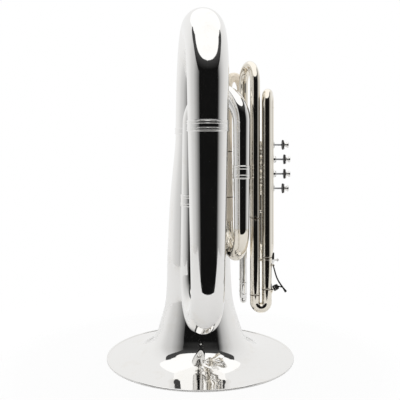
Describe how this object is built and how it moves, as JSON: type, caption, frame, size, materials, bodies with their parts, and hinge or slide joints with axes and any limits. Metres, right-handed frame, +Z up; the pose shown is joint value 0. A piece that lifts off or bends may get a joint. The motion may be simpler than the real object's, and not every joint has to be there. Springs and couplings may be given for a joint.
{
  "type": "tuba",
  "caption": "Silver-plated tuba with front-facing piston valves, standing on its bell, with pull-out slides, a water key and a lyre socket.",
  "frame": {"origin": "middle of the footprint, on the floor that the bell's rim stands on", "axes": "+Z up from the bell's rim to the bottom bow, +X the way that the finger buttons point, +Y from the outer branch towards the bell"},
  "size_m": [0.5, 0.5988, 0.9029],
  "materials": {
    "silver_plate": "bright silver plate, hand polished",
    "warm_silver_plate": "silver plate with a warm tone",
    "black_cork": "black cup with a cork pad",
    "black_metal": "darkened metal, satin",
    "felt": "dense black felt",
    "piston_metal": "lapped nickel alloy",
    "spring_steel": "drawn spring wire"
  },
  "bodies": {
    "body": {"bell": "silver_plate", "bell_ferrule": "silver_plate", "bottom_bow": "silver_plate", "outer_branch": "silver_plate", "outer_branch_ferrule": "silver_plate", "top_bow": "silver_plate", "middle_branch": "silver_plate", "middle_branch_ferrule": "silver_plate", "second_bow": "silver_plate", "third_branch": "silver_plate", "third_branch_ferrule": "silver_plate", "small_bow": "silver_plate", "fourth_branch": "warm_silver_plate", "tuning_slide_sleeves": "warm_silver_plate", "valve_block": "silver_plate", "fourth_valve_inlet_tube": "silver_plate", "fourth_valve_return_tube": "silver_plate", "first_slide_sleeves": "silver_plate", "second_slide_sleeves": "silver_plate", "third_slide_sleeves": "silver_plate", "leadpipe": "silver_plate", "mouthpiece_receiver": "silver_plate", "lyre_socket": "silver_plate", "bell_stay": "silver_plate", "small_bow_stay": "black_metal", "loop_stay": "silver_plate", "bottom_cap_1": "silver_plate", "top_cap_1": "silver_plate", "valve_spring_1": "spring_steel", "bottom_cap_2": "silver_plate", "top_cap_2": "silver_plate", "valve_spring_2": "spring_steel", "bottom_cap_3": "silver_plate", "top_cap_3": "silver_plate", "valve_spring_3": "spring_steel", "bottom_cap_4": "silver_plate", "top_cap_4": "silver_plate", "valve_spring_4": "spring_steel"},
    "valve_1": {"piston_1": "piston_metal", "felt_1": "felt", "finger_button_1": "silver_plate"},
    "valve_2": {"piston_2": "piston_metal", "felt_2": "felt", "finger_button_2": "silver_plate"},
    "valve_3": {"piston_3": "piston_metal", "felt_3": "felt", "finger_button_3": "silver_plate"},
    "valve_4": {"piston_4": "piston_metal", "felt_4": "felt", "finger_button_4": "silver_plate"},
    "tuning_slide": {"tuning_slide_crook": "warm_silver_plate"},
    "fourth_slide": {"fourth_valve_crook": "silver_plate"},
    "first_slide": {"first_slide_crook": "silver_plate"},
    "second_slide": {"second_slide_crook": "silver_plate"},
    "third_slide": {"third_slide_crook": "silver_plate"},
    "water_key": {"water_key_lever": "black_metal", "water_key_cork": "black_cork"},
    "lyre_screw": {"thumb_screw": "silver_plate"}
  },
  "joints": [
    {"name": "valve_1_press", "type": "slide", "parent": "body", "child": "valve_1", "axis": [-1, 0, 0], "range_m": [0, 0.018], "stiffness_N_per_m": 120, "springref_m": -0.03, "deforming": ["valve_spring_1"]},
    {"name": "valve_2_press", "type": "slide", "parent": "body", "child": "valve_2", "axis": [-1, 0, 0], "range_m": [0, 0.018], "stiffness_N_per_m": 120, "springref_m": -0.03, "deforming": ["valve_spring_2"]},
    {"name": "valve_3_press", "type": "slide", "parent": "body", "child": "valve_3", "axis": [-1, 0, 0], "range_m": [0, 0.018], "stiffness_N_per_m": 120, "springref_m": -0.03, "deforming": ["valve_spring_3"]},
    {"name": "valve_4_press", "type": "slide", "parent": "body", "child": "valve_4", "axis": [-1, 0, 0], "range_m": [0, 0.018], "stiffness_N_per_m": 120, "springref_m": -0.03, "deforming": ["valve_spring_4"]},
    {"name": "tuning_slide_pull", "type": "slide", "parent": "body", "child": "tuning_slide", "axis": [0, 0, 1], "range_m": [0, 0.055]},
    {"name": "fourth_slide_pull", "type": "slide", "parent": "body", "child": "fourth_slide", "axis": [0, 0, -1], "range_m": [0, 0.06]},
    {"name": "first_slide_pull", "type": "slide", "parent": "body", "child": "first_slide", "axis": [0, 0, -1], "range_m": [0, 0.045]},
    {"name": "second_slide_pull", "type": "slide", "parent": "body", "child": "second_slide", "axis": [0, 1, 0], "range_m": [0, 0.018]},
    {"name": "third_slide_pull", "type": "slide", "parent": "body", "child": "third_slide", "axis": [0, 1, 0], "range_m": [0, 0.045]},
    {"name": "water_key_open", "type": "hinge", "parent": "fourth_slide", "child": "water_key", "pos_m": [0.17424, -0.1406, 0.281], "axis": [0, -1, 0], "range_deg": [0, 18], "stiffness_Nm_per_rad": 0.25, "springref_deg": -20.05},
    {"name": "lyre_screw_turn", "type": "hinge", "parent": "body", "child": "lyre_screw", "pos_m": [0.19004, -0.06563, 0.279], "axis": [1, 0, 0], "continuous": true}
  ]
}
